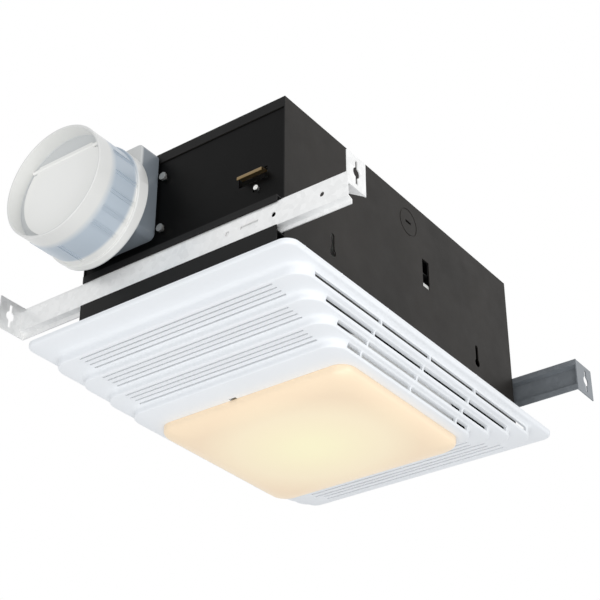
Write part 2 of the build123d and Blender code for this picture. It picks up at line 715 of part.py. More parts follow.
def pan_shape(inset):
    """The pan's outer form, inset for its inside."""
    x_mid = (pan_near_x + pan_far_x) / 2
    top_mid = (pan_top_near_x + pan_top_far_x) / 2
    wide = Pos(x_mid, 0, 0) * RectangleRounded(pan_far_x - pan_near_x - 2 * inset,
                                               2 * (pan_half_width - inset), pan_corner - inset)
    narrow = Pos(top_mid, 0, pan_top - inset) * RectangleRounded(pan_top_far_x - pan_top_near_x - 2 * inset,
                                                                 2 * (pan_top_half_width - inset), pan_corner - inset)
    skirt = Pos(0, 0, pan_bottom - inset) * extrude(wide, pan_shoulder - pan_bottom + inset)
    cone = loft([Pos(0, 0, pan_shoulder) * wide, narrow], ruled=True)
    return skirt + cone


pan = pan_shape(0) - pan_shape(pan_sheet)
for x, y in post_points:
    pan -= rod_z(screw_radius + seat_gap, x, y, (pan_top - 2 * sheet, pan_top + sheet))
save("lamp_pan", pan)

posts = []
for x, y in post_points:
    post = rod_z(post_radius, x, y, (pan_top, plate_height))
    post += rod_z(screw_radius, x, y, (pan_top - pan_sheet, pan_top))
    post += rod_z(screw_head_radius, x, y, (pan_top - pan_sheet - screw_head_height, pan_top - pan_sheet))
    posts.append(post)
save("pan_posts", Compound(posts))

# Lamp socket on its bracket, and the bulb
pan_roof = pan_top - pan_sheet
bracket_half = socket_bracket_width / 2
socket_bracket = block((socket_far_x, socket_far_x + sheet), (-bracket_half, bracket_half),
                       (pan_roof - socket_bracket_drop, pan_roof))
socket_bracket += block((socket_far_x - socket_bracket_foot, socket_far_x), (-bracket_half, bracket_half),
                        (pan_roof - sheet, pan_roof))
save("socket_bracket", socket_bracket)
socket = rod_x(socket_radius, (socket_near_x, socket_far_x), 0, bulb_z)
socket = chamfer(socket.edges().filter_by(GeomType.CIRCLE).sort_by(Axis.X)[0], 2)
socket -= rod_x(cap_radius + seat_gap, (socket_near_x - sheet, socket_far_x - socket_floor), 0, bulb_z)
save("lamp_socket", socket)
cap_far_x = socket_far_x - socket_floor
cap_near_x = cap_far_x - cap_length
bulb_cap = rod_x(cap_radius, (cap_near_x, cap_far_x - 3), 0, bulb_z)
bulb_cap += rod_x(cap_radius / 3, (cap_near_x, cap_far_x), 0, bulb_z)
save("bulb_cap", bulb_cap)
neck_rise = (bulb_neck_x - bulb_centre_x) * 0.62
glass = Pos(bulb_centre_x, 0, bulb_z) * Sphere(bulb_radius)
neck_profile = make_face([
    Line((bulb_centre_x, 0), (cap_near_x, 0)),
    Line((cap_near_x, 0), (cap_near_x, cap_radius)),
    Line((cap_near_x, cap_radius), (bulb_neck_x, bulb_neck_radius)),
    Line((bulb_neck_x, bulb_neck_radius), (bulb_centre_x + bulb_radius * 0.6, bulb_radius * 0.8)),
    Line((bulb_centre_x + bulb_radius * 0.6, bulb_radius * 0.8), (bulb_centre_x, 0)),
])
glass += Pos(0, 0, bulb_z) * revolve(Plane.XZ * neck_profile, Axis.X)
save("bulb_glass", glass)

# Wiring box against the visible long side, with its cover, two receptacles and the ground screw
box_outer_y = -inner_half_width
box_inner_y = box_outer_y + box_depth
wiring_box = block((box_near_x, box_far_x), (box_outer_y, box_inner_y), (box_low, roof_under))
wiring_box -= block((box_near_x + sheet, box_far_x - sheet), (box_outer_y + sheet, box_inner_y + sheet),
                    (box_low + sheet, roof_under - sheet))
back_cut_y = (box_outer_y - sheet, box_outer_y + 2 * sheet)
wiring_box -= rod_y(knockout_radius, knockout_x, back_cut_y, knockout_z)
wiring_box -= block(slot_x, back_cut_y, (slot_z[0], slot_z[1]))
save("wiring_box", wiring_box)
cover_y = (box_inner_y, box_inner_y + sheet)
cover = block((box_near_x, box_far_x), cover_y, (box_low, roof_under))
box_mid_x = (box_near_x + box_far_x) / 2
box_mid_z = (box_low + roof_under) / 2
receptacles = []
for side in (-1, 1):
    x = box_mid_x + side * receptacle_spacing / 2
    x_pair = (x - receptacle_width / 2, x + receptacle_width / 2)
    z_pair = (box_mid_z - receptacle_height / 2, box_mid_z + receptacle_height / 2)
    throat_x = (x_pair[0] + 2 * sheet, x_pair[1] - 2 * sheet)
    throat_z = (z_pair[0] + 2 * sheet, z_pair[1] - 2 * sheet)
    cover -= block(throat_x, (cover_y[0] - sheet, cover_y[1] + sheet), throat_z)
    receptacle = block(x_pair, (cover_y[1], cover_y[1] + 2 * sheet), z_pair)
    receptacle += block((throat_x[0] + seat_gap, throat_x[1] - seat_gap),
                        (cover_y[1] - receptacle_depth, cover_y[1]),
                        (throat_z[0] + seat_gap, throat_z[1] - seat_gap))
    for blade_side in (-1, 1):
        blade_x = x + blade_side * receptacle_width / 5
        blade_pair = (blade_x - receptacle_slot / 2, blade_x + receptacle_slot / 2)
        slot_half = receptacle_slot_length / 2
        receptacle -= block(blade_pair, (cover_y[1] - receptacle_depth / 2, cover_y[1] + 3 * sheet),
                            (box_mid_z - slot_half, box_mid_z + slot_half))
    receptacles.append(receptacle)
save("wiring_cover", cover)
save("motor_receptacle", receptacles[0])
save("light_receptacle", receptacles[1])
ground_x = box_far_x - 3 * ground_screw_radius
ground_z = box_low + 3 * ground_screw_radius
ground_screw = rod_y(screw_radius, ground_x, (box_outer_y + sheet, box_outer_y + 5 * sheet), ground_z)
ground_head_y = (box_outer_y + 5 * sheet, box_outer_y + 5 * sheet + screw_head_height)
ground_screw += rod_y(ground_screw_radius, ground_x, ground_head_y, ground_z)
save("ground_screw", ground_screw)

# Grille: a stepped, thin-walled cover with long slots in the risers and slits in the end treads
stack = slab(grille_half_length, grille_half_width, grille_corner, (rim_low, grille_top))
stack = fillet(stack.faces().sort_by(Axis.Z)[0].edges(), rim_round)
hollow = slab(grille_half_length - grille_wall, grille_half_width - grille_wall, grille_corner - grille_wall,
              (rim_low + grille_wall, grille_top + sheet))
tread_z = rim_low
for half_x, half_y, low in terraces:
    step = slab(half_x, half_y, terrace_corner, (low, tread_z))
    step = fillet(step.faces().sort_by(Axis.Z)[0].edges(), edge_round)
    stack += step
    hollow += slab(half_x - grille_wall, half_y - grille_wall, terrace_corner - grille_wall,
                   (low + grille_wall, grille_top + sheet))
    tread_z = low
grille = stack - hollow
tread_z = rim_low
for row, (half_x, half_y, low) in enumerate(terraces):
    row_half = slot_row_halves[row]
    row_z = (low + slot_lift, low + slot_lift + slot_height)
    for side in (-1, 1):
        row_y = (side * (half_y - 2 * grille_wall), side * (half_y + sheet))
        cut = block((-row_half, row_half), row_y, row_z)
        for web in (-1, 0, 1):
            web_x = (web * slot_web_pitch - slot_web / 2, web * slot_web_pitch + slot_web / 2)
            cut -= block(web_x, row_y, row_z)
        grille -= cut
    if row < len(end_slit_halves):
        slit_half = end_slit_halves[row]
        for side in (-1, 1):
            for step in range(end_slit_count):
                slit_x = side * (half_x - end_slit_first - step * end_slit_pitch)
                slit_pair = (slit_x - end_slit_width / 2, slit_x + end_slit_width / 2)
                grille -= block(slit_pair, (-slit_half, slit_half), (low - sheet, low + 2 * grille_wall))
for side in (-1, 1):
    for step in range(nub_count):
        nub_x = (step - (nub_count - 1) / 2) * nub_pitch
        nub_y = side * (grille_half_width - grille_wall / 2)
        grille += rod_z(grille_wall / 2, nub_x, nub_y, (grille_top, 0))
grille = Pos(grille_x, 0, 0) * grille
floor_low = terraces[-1][2]
floor_top = floor_low + grille_wall
opening_half_length = lens_half_length + lens_gap
opening_half_width = lens_half_width + lens_gap
grille -= slab(opening_half_length, opening_half_width, lens_corner + lens_gap, (floor_low - sheet, floor_top + sheet), lens_x)
latch_x = (lens_x - opening_half_length - latch_slot_depth, lens_x - opening_half_length + lens_gap)
latch_y = (latch_slot_y - latch_slot_width / 2, latch_slot_y + latch_slot_width / 2)
grille -= block(latch_x, latch_y, (floor_low - sheet, floor_top + sheet))

# Knuckles on the far edge of the opening, which carry the lens
knuckle_x = lens_x + lens_half_length + lens_gap + knuckle_radius
knuckle_z = floor_low - knuckle_radius - slide_gap
for side in (-1, 1):
    middle = side * knuckle_y
    for ear in (-1, 1):
        ear_start = middle + ear * (knuckle_length / 2 + slide_gap)
        ear_y = (ear_start, ear_start + ear * knuckle_ear)
        grille += rod_y(knuckle_radius, knuckle_x, ear_y, knuckle_z)
        grille += block((knuckle_x - knuckle_radius, knuckle_x + knuckle_radius), ear_y, (knuckle_z, floor_top))
    pin_half = knuckle_length / 2 + slide_gap + knuckle_ear
    grille += rod_y(knuckle_pin_radius, knuckle_x, (middle - pin_half, middle + pin_half), knuckle_z)

# Posts that hold the two springs
for side in (-1, 1):
    post_x = grille_x + side * spring_offset
    post_pair = (post_x - spring_post_width / 2, post_x + spring_post_width / 2)
    for ear in (-1, 1):
        ear_start = ear * (spring_coil_length / 2 + slide_gap)
        ear_y = (ear_start, ear_start + ear * knuckle_ear)
        grille += block(post_pair, ear_y, (terraces[1][2] + sheet, spring_pin_height + spring_pin_radius))
    pin_half = spring_coil_length / 2 + slide_gap + knuckle_ear
    grille += rod_y(spring_pin_radius, post_x, (-pin_half, pin_half), spring_pin_height)
save("grille", grille)

# Springs: a coil on the post's pin and two legs that reach up through the housing bracket
springs = []
leg_offset = spring_coil_radius - spring_wire_radius - spring_leg_inset
leg_y = spring_coil_length / 2 - spring_wire_radius - spring_leg_inset
for side in (-1, 1):
    x = grille_x + side * spring_offset
    spring = rod_y(spring_coil_radius, x, (-spring_coil_length / 2, spring_coil_length / 2), spring_pin_height)
    for leg in (-1, 1):
        leg_x_place = x + leg * leg_offset
        spring += rod_z(spring_wire_radius, leg_x_place, leg * leg_y, (spring_pin_height, spring_leg_top))
        hook_x = (leg_x_place, leg_x_place + leg * spring_hook)
        spring += rod_x(spring_wire_radius, hook_x, leg * leg_y, spring_leg_top)
        spring += Pos(leg_x_place, leg * leg_y, spring_leg_top) * Sphere(spring_wire_radius)
    spring -= rod_y(spring_pin_radius + seat_gap, x, (-spring_coil_length, spring_coil_length), spring_pin_height)
    springs.append(spring)
save("grille_springs", Compound(springs))

# Brackets in the housing that the spring legs pass through
brackets = []
for side in (-1, 1):
    x_pair = (side * panel_inner_x, side * (panel_inner_x - bracket_reach))
    bracket = block(x_pair, (-bracket_half_width, bracket_half_width), (bracket_height, bracket_height + bracket_sheet))
    foot_x = (side * panel_inner_x, side * (panel_inner_x - bracket_sheet))
    bracket += block(foot_x, (-bracket_half_width, bracket_half_width), (bracket_height, bracket_height + bracket_foot))
    for leg in (-1, 1):
        slot_mid = grille_x + side * spring_offset + leg * leg_offset
        slot_half = spring_wire_radius + slide_gap
        y_half = bracket_slot_length / 2
        bracket -= block((slot_mid - slot_half, slot_mid + slot_half), (leg * leg_y - y_half, leg * leg_y + y_half),
                         (bracket_height - sheet, bracket_height + 2 * bracket_sheet))
    brackets.append(bracket)
save("spring_brackets", Compound(brackets))

# Lens: a shallow tray with a drafted wall, a sloping band and a flat bottom


def lens_shape(inset, top):
    """The lens form, inset for its inside."""
    corner = lens_corner - inset
    upper = RectangleRounded(2 * (lens_half_length - inset), 2 * (lens_half_width - inset), corner)
    band = RectangleRounded(2 * (lens_half_length - lens_band_inset - inset),
                            2 * (lens_half_width - lens_band_inset - inset), corner)
    flat = RectangleRounded(2 * (lens_flat_half_length - inset), 2 * (lens_flat_half_width - inset), corner)
    plug = Pos(0, 0, lens_seat) * extrude(upper, top - lens_seat)
    wall = loft([Pos(0, 0, lens_seat) * upper, Pos(0, 0, lens_band_z) * band], ruled=True)
    slope = loft([Pos(0, 0, lens_band_z) * band, Pos(0, 0, lens_bottom + inset) * flat], ruled=True)
    return Pos(lens_x, 0, 0) * (plug + wall + slope)


lens = lens_shape(0, lens_seat + lens_plug) - lens_shape(lens_wall, lens_seat + lens_plug + sheet)
for side in (-1, 1):
    barrel_y = (side * knuckle_y - knuckle_length / 2, side * knuckle_y + knuckle_length / 2)
    lens += rod_y(knuckle_radius, knuckle_x, barrel_y, knuckle_z)
    web_x = (lens_x + lens_half_length - lens_wall, knuckle_x)
    lens += block(web_x, barrel_y, (knuckle_z - knuckle_radius, knuckle_z))
    lens -= rod_y(knuckle_pin_radius + running_gap, knuckle_x, (barrel_y[0] - sheet, barrel_y[1] + sheet), knuckle_z)
save("lens", lens)
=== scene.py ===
"""Bathroom fan with light: finishes, moulded pieces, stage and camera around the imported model."""

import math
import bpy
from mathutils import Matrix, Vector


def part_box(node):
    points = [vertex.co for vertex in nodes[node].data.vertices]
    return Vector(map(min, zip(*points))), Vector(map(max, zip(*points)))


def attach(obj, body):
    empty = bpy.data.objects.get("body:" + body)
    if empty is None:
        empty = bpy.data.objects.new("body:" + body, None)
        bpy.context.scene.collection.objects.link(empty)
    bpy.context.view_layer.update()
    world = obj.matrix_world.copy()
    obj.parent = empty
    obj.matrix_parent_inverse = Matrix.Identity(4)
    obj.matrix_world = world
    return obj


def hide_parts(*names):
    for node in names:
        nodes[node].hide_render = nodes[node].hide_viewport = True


bl_info = {
    "name": "Bathroom Fan With Light",
    "version": (1, 0, 0),
    "blender": (4, 5, 0),
    "location": "View3D > Sidebar > Bathroom Fan",
    "description": "Finishes, moulded pieces and studio for a ceiling bathroom fan",
    "category": "Object",
}

import bpy
import bmesh
from bpy.props import FloatProperty, FloatVectorProperty, PointerProperty
from mathutils import Matrix, Vector

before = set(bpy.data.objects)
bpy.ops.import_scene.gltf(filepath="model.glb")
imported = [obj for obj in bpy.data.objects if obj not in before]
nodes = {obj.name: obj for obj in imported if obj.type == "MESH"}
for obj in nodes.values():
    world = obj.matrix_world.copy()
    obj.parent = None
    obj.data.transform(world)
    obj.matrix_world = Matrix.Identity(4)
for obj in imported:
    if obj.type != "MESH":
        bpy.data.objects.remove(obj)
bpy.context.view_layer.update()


# Materials


class Recipe:
    """A node material under construction, with the shader's own sockets at hand."""

    def __init__(self, name, base, roughness, metallic=0.0):
        self.material = bpy.data.materials.new(name)
        self.material.use_nodes = True
        self.nodes = self.material.node_tree.nodes
        self.links = self.material.node_tree.links
        self.shader = self.nodes["Principled BSDF"]
        self.shader.inputs["Base Color"].default_value = (*base, 1)
        self.shader.inputs["Roughness"].default_value = roughness
        self.shader.inputs["Metallic"].default_value = metallic
        coordinates = self.nodes.new("ShaderNodeTexCoord")
        self.place = coordinates.outputs["Object"]

    def noise(self, scale, detail=4.0, stretch=None):
        """Noise in object space, its coordinates multiplied by stretch if that is given."""
        source = self.place
        if stretch:
            mapping = self.nodes.new("ShaderNodeMapping")
            mapping.inputs["Scale"].default_value = stretch
            self.links.new(source, mapping.inputs["Vector"])
            source = mapping.outputs["Vector"]
        texture = self.nodes.new("ShaderNodeTexNoise")
        texture.inputs["Scale"].default_value = scale
        texture.inputs["Detail"].default_value = detail
        self.links.new(source, texture.inputs["Vector"])
        return texture.outputs["Fac"]

    def cells(self, scale):
        """Voronoi cells, for the spangle of galvanised sheet."""
        texture = self.nodes.new("ShaderNodeTexVoronoi")
        texture.inputs["Scale"].default_value = scale
        self.links.new(self.place, texture.inputs["Vector"])
        split = self.nodes.new("ShaderNodeSeparateColor")
        self.links.new(texture.outputs["Color"], split.inputs["Color"])
        return split.outputs["Red"]

    def ramp(self, factor, *stops):
        """Colours along a factor, given as (place, colour) pairs."""
        ramp = self.nodes.new("ShaderNodeValToRGB")
        elements = ramp.color_ramp.elements
        while len(elements) < len(stops):
            elements.new(0.5)
        for element, (place, colour) in zip(elements, stops):
            element.position = place
            element.color = (*colour, 1)
        self.links.new(factor, ramp.inputs["Fac"])
        return ramp.outputs["Color"]

    def span(self, factor, low, high):
        """A factor from 0 to 1 mapped to a range."""
        mapped = self.nodes.new("ShaderNodeMapRange")
        mapped.inputs["To Min"].default_value = low
        mapped.inputs["To Max"].default_value = high
        self.links.new(factor, mapped.inputs["Value"])
        return mapped.outputs["Result"]

    def colour(self, output):
        """Drive the base colour."""
        self.links.new(output, self.shader.inputs["Base Color"])

    def rough(self, factor, low, high):
        """Drive the roughness between two values."""
        self.links.new(self.span(factor, low, high), self.shader.inputs["Roughness"])

    def bump(self, factor, strength, distance=0.0004):
        """Raise the surface by a factor."""
        node = self.nodes.new("ShaderNodeBump")
        node.inputs["Strength"].default_value = strength
        node.inputs["Distance"].default_value = distance
        self.links.new(factor, node.inputs["Height"])
        self.links.new(node.outputs["Normal"], self.shader.inputs["Normal"])


def shade(colour, factor):
    """A colour made lighter or darker."""
    return tuple(min(1.0, channel * factor) for channel in colour)


def coated_steel(name, base, variation=0.25, roughness=0.42, gloss=0.3):
    """Coated sheet: slight mottling and an orange-peel surface."""
    recipe = Recipe(name, base, roughness)
    recipe.shader.inputs["Specular IOR Level"].default_value = gloss
    mottle = recipe.noise(14, 5)
    recipe.colour(recipe.ramp(mottle, (0.3, shade(base, 1 - variation)), (0.7, shade(base, 1 + variation))))
    recipe.rough(recipe.noise(60, 3), roughness - 0.06, roughness + 0.08)
    recipe.bump(recipe.noise(900, 2), 0.12)
    return recipe.material


def galvanised_steel(name, base, roughness=0.34):
    """Zinc-coated sheet: faint crystals, nearly even in brightness."""
    recipe = Recipe(name, base, roughness, 0.35)
    crystals = recipe.cells(220)
    recipe.colour(recipe.ramp(crystals, (0.0, shade(base, 0.95)), (0.5, base), (1.0, shade(base, 1.03))))
    recipe.rough(crystals, roughness - 0.03, roughness + 0.05)
    recipe.bump(recipe.noise(400, 2), 0.02)
    return recipe.material


def plain_metal(name, base, roughness=0.3):
    """Machined or plated metal with fine streaks."""
    recipe = Recipe(name, base, roughness, 0.9)
    streaks = recipe.noise(220, 3, (1, 1, 8))
    recipe.colour(recipe.ramp(streaks, (0.3, shade(base, 0.85)), (0.7, shade(base, 1.08))))
    recipe.rough(streaks, roughness - 0.06, roughness + 0.1)
    recipe.bump(streaks, 0.06)
    return recipe.material


def moulded_plastic(name, base, roughness=0.38, variation=0.03, grain=1400):
    """Moulded plastic with a fine grain and a trace of flow marks."""
    recipe = Recipe(name, base, roughness)
    flow = recipe.noise(9, 3)
    recipe.colour(recipe.ramp(flow, (0.3, shade(base, 1 - variation)), (0.7, shade(base, 1 + variation))))
    recipe.rough(recipe.noise(40, 2), roughness - 0.04, roughness + 0.06)
    recipe.bump(recipe.noise(grain, 2), 0.05)
    return recipe.material


def dress(material, *names):
    """Give CAD nodes one material."""
    for name in names:
        obj = nodes[name]
        obj.data.materials.clear()
        obj.data.materials.append(material)


# Shapes, drawn in millimetres


MM = 0.001
SHARP = math.radians(35)


def rounded_ring(centre, half_x, half_y, corner, z, steps=8):
    """Points of a rounded rectangle at one height."""
    points = []
    for quarter, (side_x, side_y) in enumerate(((1, 1), (-1, 1), (-1, -1), (1, -1))):
        for step in range(steps + 1):
            angle = math.radians(90 * (quarter + step / steps))
            points.append((
                centre[0] + side_x * (half_x - corner) + corner * math.cos(angle),
                centre[1] + side_y * (half_y - corner) + corner * math.sin(angle),
                z,
            ))
    return points


def duct_ring(x, radius, lean=0.0, steps=96):
    """Points of a circle about the duct's axis, leaning outwards at its top."""
    points = []
    for step in range(steps):
        angle = math.tau * step / steps
        rise = radius * math.sin(angle)
        points.append((x - lean * rise, DUCT_Y + radius * math.cos(angle), DUCT_Z + rise))
    return points


def loft(shape, rings, closed=False, capped=False):
    """Skin a row of rings that have equal counts."""
    loops = [[shape.verts.new(point) for point in ring] for ring in rings]
    pairs = list(zip(loops, loops[1:]))
    if closed:
        pairs.append((loops[-1], loops[0]))
    for near, far in pairs:
        for index in range(len(near)):
            after = (index + 1) % len(near)
            shape.faces.new((near[index], near[after], far[after], far[index]))
    if capped:
        shape.faces.new(loops[0])
        shape.faces.new(loops[-1])


def block(shape, low, high):
    """A plain block between two corners."""
    corners = ((low[0], low[1]), (high[0], low[1]), (high[0], high[1]), (low[0], high[1]))
    loft(shape, [[(x, y, z) for x, y in corners] for z in (low[2], high[2])], capped=True)


def rod(shape, radius, start, end, sides=32):
    """A round rod between two points."""
    start, end = Vector(start), Vector(end)
    turn = (end - start).to_track_quat("Z", "Y").to_matrix().to_4x4()
    bmesh.ops.create_cone(shape, cap_ends=True, segments=sides, radius1=radius, radius2=radius,
                          depth=(end - start).length, matrix=Matrix.Translation((start + end) / 2) @ turn)


def plain_object(shape):
    """A shape as an object, with its faces turned outwards."""
    bmesh.ops.recalc_face_normals(shape, faces=shape.faces)
    mesh = bpy.data.meshes.new("Shape")
    shape.to_mesh(mesh)
    shape.free()
    made = bpy.data.objects.new("Shape", mesh)
    bpy.context.scene.collection.objects.link(made)
    return made


def cut(shape, cutters):
    """Take one shape away from another, and give back what is left."""
    body, tool = plain_object(shape), plain_object(cutters)
    modifier = body.modifiers.new("Cut", "BOOLEAN")
    modifier.object = tool
    modifier.solver = "EXACT"
    mesh = bpy.data.meshes.new_from_object(body.evaluated_get(bpy.context.evaluated_depsgraph_get()))
    left = bmesh.new()
    left.from_mesh(mesh)
    for made in (body, tool):
        bpy.data.meshes.remove(made.data)
    bpy.data.meshes.remove(mesh)
    return left


def piece(name, shape, material, body, *replaced):
    """Put a shape on its body in place of its nodes, smooth where its faces meet gently."""
    bmesh.ops.recalc_face_normals(shape, faces=shape.faces)
    bmesh.ops.scale(shape, vec=(MM, MM, MM), verts=shape.verts)
    for face in shape.faces:
        face.smooth = True
    for edge in shape.edges:
        edge.smooth = len(edge.link_faces) == 2 and edge.calc_face_angle() < SHARP
    mesh = bpy.data.meshes.new(name)
    shape.to_mesh(mesh)
    shape.free()
    mesh.materials.append(material)
    obj = bpy.data.objects.new(name, mesh)
    bpy.context.scene.collection.objects.link(obj)
    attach(obj, body)
    if replaced:
        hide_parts(*replaced)
    return obj


# Housing
END_FACE_X = 180.8
CLIP_Y = (-90, -65)
CLIP_PROFILE = ((-180.4, 92.3), (-186.6, 92.3), (-187.6, 91.9), (-188, 91), (-188, 88.6), (-187.1, 88.6),
                (-187.1, 90.8), (-186.8, 91.3), (-186.4, 91.4), (-180.4, 91.4))
SCREW_STEPS = ((1.6, 176, 182.3), (2.3, 182.2, 183.2), (1.5, 183.1, 183.6))

# Duct connector
DUCT_Y = 71.7
DUCT_Z = 104.7
COLLAR_RADIUS = 53
COLLAR_BORE = 51
MOUTH_X = -261
BAND_X = (-203.5, -215.5)
BAND_RADIUS = 55
BASE_X = (-182.2, -203.5)
BASE_CENTRE = (67, 114.9)
BASE_HALF = (40, 44.1)
BASE_WALL = 2
BASE_CHAMFER = 1
BASE_OPENING = 20
BASE_CORNER = 6
BASE_LEAST_CORNER = 1.5
BAND_LEAN = 0.11
BAND_ROOT_LEAN = 0.03
LIP_ROUND = 0.6
BORE_ROUND = 0.4
OVERLAP = 0.5
RIB_ANGLES = (-178, -159, -142, -126, -85, -40, 0, 40, 80, 120, 158)
RIB_APART = 1.6
RIB_HALF_WIDTH = 0.35
RIB_HEIGHT = 0.8
RIB_FROM_BAND = 2
RIB_FROM_MOUTH = 19
FLAP_X = -247
STOP_X = (1.5, 3.5)
STOP_REACH = 8.5
PLATE_X = (1.3, 3.7)
PLATE_LOW = 34.8
PLATE_STEPS = 32
# Painted glow of the duct plastic, standing in for light through its translucent wall; the plastic is no lamp
DUCT_PAINTED_GLOW = 0.08
# Painted glow of the flap, standing in for light through the translucent collar
FLAP_PAINTED_GLOW = 0.28

# Grille
GRILLE_CENTRE = (-4, 2.8)
RIM_HALF = (206.5, 138.6)
RIM_CORNER = 11
RIM_Z = (-4, -8.5)
RIM_ROUND = 2.5
TERRACES = ((181.5, 131, -18.5), (156.5, 123.5, -26), (131.5, 117, -33.5), (107, 110.3, -41))
TERRACE_CORNER = 16
COVE = 4
EDGE_ROUND = 1.5
GRILLE_WALL = 2.2
SLOT_HALVES = (164.4, 139.8, 115.6, 92.1)
SLOT_Z = (2.3, 6.7)
SLOT_CUT = (4.4, 4.5)
WEBS = (-73.4, 0, 73.4)
WEB_HALF_WIDTH = 1
SLIT_HALVES = (100, 97, 93)
SLIT_COUNT = 4
SLIT_FIRST = 4
SLIT_PITCH = 6
SLIT_HALF_WIDTH = 0.8
SLIT_RISE = 3.9
CUT_BELOW = 1
LATCH_X = (2.6, 4)
LATCH_Y = (14, 21)
LATCH_RISE = 4
NUBS = (-191.8, -143.4, -79, 59.4)
NUB_RADIUS = 1.1
NUB_INSET = 0.6
NUB_Z = (1.4, -0.2)
POSTS = (-151, 145)
POST_HALF_WIDTH = 4
POST_Y = (4.6, 7.1)
POST_TOP = -5
POST_FOOT = 2
SPRING_PIN_Z = -9
SPRING_PIN_RADIUS = 4

# Lens
LENS_CENTRE = (7, 2.8)
LENS_HALF = (90, 99.5)
LENS_CORNER = 14
LENS_PROFILE = ((0, -41.1), (0, -46), (0.6, -47.6), (2, -49.2), (4.6, -51), (8, -52.5),
                (12, -53.8), (16.5, -54.6), (24, -54.99), (60, -54.99))
HINGE = (99.7, -42)
KNUCKLES = (-55, 55)
KNUCKLE_RADIUS = 2.2
KNUCKLE_HALF_WIDTH = 5
KNUCKLE_FOOT = 4.7
EAR_Y = (5.1, 7.6)
EAR_RISE = 3.2
HINGE_PIN_RADIUS = 1
LENS_WALL = 2
LENS_OVERLAP = 2
# Painted glow of the lens, standing in for the lit bulb behind it: its emission, and where its ball of colour
# sits
LENS_PAINTED_GLOW = 0.12
PAINTED_GLOW_FOOT = -0.055
PAINTED_GLOW_REACH = 1.35
PAINTED_GLOW_DEPTH = 0.06

# Stage, in metres
KEY_LAMP = (1.6, (-0.6, -2.2, 0.3))
LAMP_BELOW = (2.2, (-1.0, -0.6, -1.7))
CAMERA_PLACE = (-0.94029, -0.68015, -0.61391)
SENSOR_WIDTH = 36
FLOOR_SIZE = 6
FLOOR_Z = -2.1


# Colours, lights and camera settings that a user would change


class FanFinish(bpy.types.PropertyGroup):
    """Colours of the visible pieces."""

    housing: FloatVectorProperty(
        name="Housing", description="Long sides and top", subtype="COLOR",
        default=(0.016, 0.014, 0.012),
    )
    # Housing ends: a near-black painted shade; the end panels have the same coat as the long sides
    ends: FloatVectorProperty(
        name="Housing ends", description="End panels", subtype="COLOR",
        default=(0.002, 0.002, 0.002),
    )
    rails: FloatVectorProperty(
        name="Bar rails", description="Rails on the ends", subtype="COLOR",
        default=(0.008, 0.008, 0.008),
    )
    bars: FloatVectorProperty(
        name="Hanger bars", description="Galvanised bars", subtype="COLOR",
        default=(0.93, 0.93, 0.92),
    )
    # Far bars: the same galvanised steel as the near bars, darkened as painted shade and painted dark
    # reflection
    far_bars_painted_shade: FloatVectorProperty(
        name="Far bars", description="Bars at the end away from the duct", subtype="COLOR",
        default=(0.24, 0.26, 0.28),
    )
    grille: FloatVectorProperty(
        name="Grille", description="Moulded cover", subtype="COLOR",
        default=(0.86, 0.88, 0.90),
    )
    duct: FloatVectorProperty(
        name="Duct connector", description="Natural plastic", subtype="COLOR",
        default=(0.70, 0.70, 0.68),
    )
    # Duct window: bluish painted shade, standing in for the dark inside seen through the translucent wall
    # between the ribs
    duct_window_painted_shade: FloatVectorProperty(
        name="Duct window", description="Plastic between the band and the mouth", subtype="COLOR",
        default=(0.44, 0.50, 0.56),
    )
    # Lens colours: the lens's own cream, brightened and warmed as a painted glow of the lit bulb, brightest
    # in the middle and dimmer and warmer at the rim
    lens_centre_painted_glow: FloatVectorProperty(
        name="Lens centre", description="Middle of the lens", subtype="COLOR",
        default=(0.97, 0.90, 0.60),
    )
    lens_middle_painted_glow: FloatVectorProperty(
        name="Lens middle", description="Between middle and rim", subtype="COLOR",
        default=(0.94, 0.81, 0.58),
    )
    lens_edge_painted_glow: FloatVectorProperty(
        name="Lens edge", description="Rim of the lens", subtype="COLOR",
        default=(0.88, 0.71, 0.51),
    )


class FanStage(bpy.types.PropertyGroup):
    """Camera and lamps."""

    camera_azimuth: FloatProperty(
        name="Azimuth", description="Camera azimuth", subtype="ANGLE",
        default=math.radians(-53.74),
    )
    camera_elevation: FloatProperty(
        name="Elevation", description="Camera elevation", subtype="ANGLE",
        default=math.radians(-31.28),
    )
    lens: FloatProperty(
        name="Focal length", description="Camera focal length in mm",
        default=88.772,
    )
    world: FloatProperty(
        name="World light", description="Strength of the even light",
        default=0.62,
    )
    key: FloatProperty(
        name="Key lamp", description="Power of the key lamp", unit="POWER",
        default=17.0,
    )
    fill: FloatProperty(
        name="Fill lamp", description="Power of the lamp below", unit="POWER",
        default=27.0,
    )


